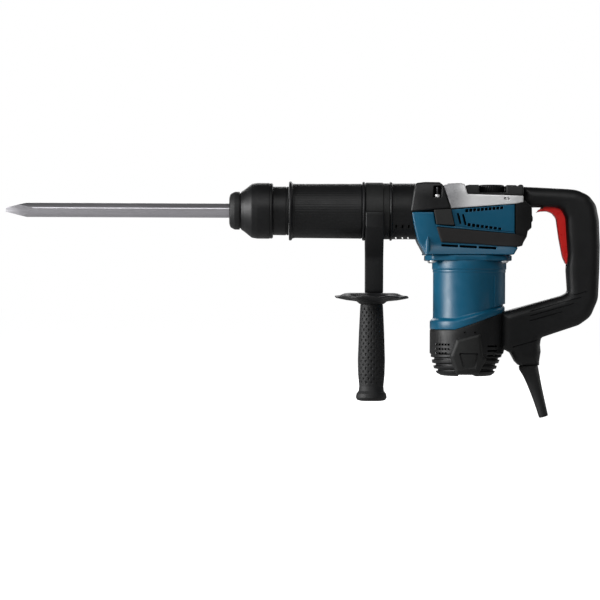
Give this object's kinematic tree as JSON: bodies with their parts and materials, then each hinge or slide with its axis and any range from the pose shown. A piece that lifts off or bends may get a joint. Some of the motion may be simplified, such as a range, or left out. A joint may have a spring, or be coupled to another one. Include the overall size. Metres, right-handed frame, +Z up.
{
  "type": "electric jackhammer",
  "caption": "Hand-held electric demolition hammer: pointed chisel in a spring-locked nose, long barrel with side handle, upright motor, crank drive and D-handle with trigger.",
  "frame": {"origin": "on the tool's middle plane, under the middle of its box, at the height of its lowest point, the end of the cord boot", "axes": "+X along the striking axis from the chisel towards the D-handle, +Y across the tool, +Z up, against the motor's direction from the head"},
  "size_m": [0.7834, 0.1034, 0.3108],
  "materials": {
    "chisel": "ground steel",
    "tool_holder": "dark machined steel",
    "lock_roller_1": "ground steel",
    "lock_roller_2": "ground steel",
    "dust_cap": "matt, moulded texture",
    "locking_sleeve": "fine-grained black nylon",
    "adjusting_ring": "fine-grained black nylon",
    "sleeve_spring": "ground steel",
    "barrel_cover": "fine-grained black nylon",
    "barrel_neck": "fine-grained black nylon",
    "hammer_tube": "dark machined steel",
    "impact_bolt": "ground steel",
    "striker": "ground steel",
    "striker_seal": "matt, moulded texture",
    "piston": "cast and blasted, satin",
    "gudgeon_pin": "ground steel",
    "connecting_rod": "ground steel",
    "crank_pin": "ground steel",
    "crank_gear": "ground steel",
    "crank_shaft": "dark machined steel",
    "crank_bearing": "ground steel",
    "pinion": "ground steel",
    "field_stator": "lacquered laminations",
    "armature": "lacquered laminations",
    "commutator": "bare copper",
    "motor_shaft": "ground steel",
    "fan": "fine-grained black nylon",
    "upper_bearing": "ground steel",
    "lower_bearing": "ground steel",
    "brush_left": "carbon block",
    "brush_right": "carbon block",
    "motor_housing": "satin glass-filled nylon",
    "motor_cap": "fine-grained black nylon",
    "front_hood": "fine-grained black nylon",
    "gear_case": "cast and blasted, satin",
    "upper_body": "satin glass-filled nylon",
    "side_panel_left": "satin glass-filled nylon",
    "side_panel_right": "satin glass-filled nylon",
    "belt_left": "matt, moulded texture",
    "belt_right": "matt, moulded texture",
    "rear_cover": "fine-grained black nylon",
    "top_deck": "fine-grained black nylon",
    "selector_dial": "fine-grained black nylon",
    "handle_left": "fine-grained black nylon",
    "handle_right": "fine-grained black nylon",
    "trigger": "glossy",
    "trigger_pin": "ground steel",
    "switch": "fine-grained black nylon",
    "cord_boot": "matt, moulded texture",
    "clamp_band": "dark machined steel",
    "handle_bracket": "fine-grained black nylon",
    "clamp_bolt": "ground steel",
    "guard_disc": "matt, moulded texture",
    "side_grip": "matt, moulded texture",
    "housing_screw_1": "ground steel",
    "housing_screw_2": "ground steel",
    "housing_screw_3": "ground steel",
    "housing_screw_4": "ground steel",
    "hood_bolt_left": "ground steel",
    "hood_bolt_right": "ground steel"
  },
  "bodies": {
    "chisel": {"chisel": "chisel"},
    "tool_holder": {"tool_holder": "tool_holder", "lock_roller_1": "lock_roller_1", "lock_roller_2": "lock_roller_2", "dust_cap": "dust_cap", "sleeve_spring": "sleeve_spring"},
    "locking_sleeve": {"locking_sleeve": "locking_sleeve"},
    "adjusting_ring": {"adjusting_ring": "adjusting_ring"},
    "impact_bolt": {"impact_bolt": "impact_bolt"},
    "striker": {"striker": "striker", "striker_seal": "striker_seal"},
    "piston": {"piston": "piston", "gudgeon_pin": "gudgeon_pin", "connecting_rod": "connecting_rod", "crank_pin": "crank_pin"},
    "crank": {"crank_gear": "crank_gear", "crank_shaft": "crank_shaft"},
    "rotor": {"armature": "armature", "commutator": "commutator", "motor_shaft": "motor_shaft", "pinion": "pinion", "fan": "fan"},
    "trigger": {"trigger": "trigger"},
    "dial": {"selector_dial": "selector_dial"},
    "side_bracket": {"clamp_band": "clamp_band", "handle_bracket": "handle_bracket"},
    "side_grip": {"clamp_bolt": "clamp_bolt", "guard_disc": "guard_disc", "side_grip": "side_grip"},
    "housing": {"barrel_cover": "barrel_cover", "barrel_neck": "barrel_neck", "hammer_tube": "hammer_tube", "crank_bearing": "crank_bearing", "field_stator": "field_stator", "upper_bearing": "upper_bearing", "lower_bearing": "lower_bearing", "brush_left": "brush_left", "brush_right": "brush_right", "motor_housing": "motor_housing", "motor_cap": "motor_cap", "front_hood": "front_hood", "gear_case": "gear_case", "upper_body": "upper_body", "side_panel_left": "side_panel_left", "side_panel_right": "side_panel_right", "belt_left": "belt_left", "belt_right": "belt_right", "rear_cover": "rear_cover", "top_deck": "top_deck", "handle_left": "handle_left", "handle_right": "handle_right", "trigger_pin": "trigger_pin", "switch": "switch", "cord_boot": "cord_boot", "housing_screw_1": "housing_screw_1", "housing_screw_2": "housing_screw_2", "housing_screw_3": "housing_screw_3", "housing_screw_4": "housing_screw_4", "hood_bolt_left": "hood_bolt_left", "hood_bolt_right": "hood_bolt_right"}
  },
  "joints": [
    {"name": "holder_turn", "type": "hinge", "parent": "housing", "child": "tool_holder", "pos_m": [-0.0818, 0, 0.2721], "axis": [1, 0, 0], "range_deg": [0, 330]},
    {"name": "chisel_slide", "type": "slide", "parent": "tool_holder", "child": "chisel", "axis": [-1, 0, 0], "range_m": [0, 0.02]},
    {"name": "sleeve_slide", "type": "slide", "parent": "housing", "child": "locking_sleeve", "axis": [1, 0, 0], "range_m": [0, 0.01], "stiffness_N_per_m": 900, "springref_m": -0.006, "deforming": ["sleeve_spring"]},
    {"name": "ring_slide", "type": "slide", "parent": "housing", "child": "adjusting_ring", "axis": [-1, 0, 0], "range_m": [0, 0.008], "stiffness_N_per_m": 700, "springref_m": -0.004},
    {"name": "impact_bolt_slide", "type": "slide", "parent": "housing", "child": "impact_bolt", "axis": [-1, 0, 0], "range_m": [0, 0.0055]},
    {"name": "striker_slide", "type": "slide", "parent": "housing", "child": "striker", "axis": [-1, 0, 0], "range_m": [0, 0.0295]},
    {"name": "piston_slide", "type": "slide", "parent": "housing", "child": "piston", "axis": [-1, 0, 0], "range_m": [0, 0.03]},
    {"name": "motor_spin", "type": "hinge", "parent": "housing", "child": "rotor", "pos_m": [0.2201, 0, 0.1521], "axis": [0, 0, 1], "continuous": true},
    {"name": "crank_spin", "type": "hinge", "parent": "housing", "child": "crank", "pos_m": [0.1901, 0, 0.2551], "axis": [0, 0, 1], "continuous": true},
    {"name": "trigger_pull", "type": "hinge", "parent": "housing", "child": "trigger", "pos_m": [0.3156, 0, 0.2777], "axis": [0, -1, 0], "range_deg": [0, 5], "stiffness_Nm_per_rad": 4, "springref_deg": -2.86},
    {"name": "dial_turn", "type": "hinge", "parent": "housing", "child": "dial", "pos_m": [0.249, 0, 0.3021], "axis": [0, 0, 1], "range_deg": [0, 300]},
    {"name": "side_handle_swing", "type": "hinge", "parent": "housing", "child": "side_bracket", "pos_m": [0.0984, 0, 0.2721], "axis": [1, 0, 0], "range_deg": [-180, 180]},
    {"name": "side_grip_turn", "type": "hinge", "parent": "side_bracket", "child": "side_grip", "pos_m": [0.0916, 0, 0.1521], "axis": [0, 0, 1], "range_deg": [0, 270]}
  ],
  "couplings": [
    {"joint": "crank_spin", "follows": "motor_spin", "ratio": -0.21951}
  ]
}
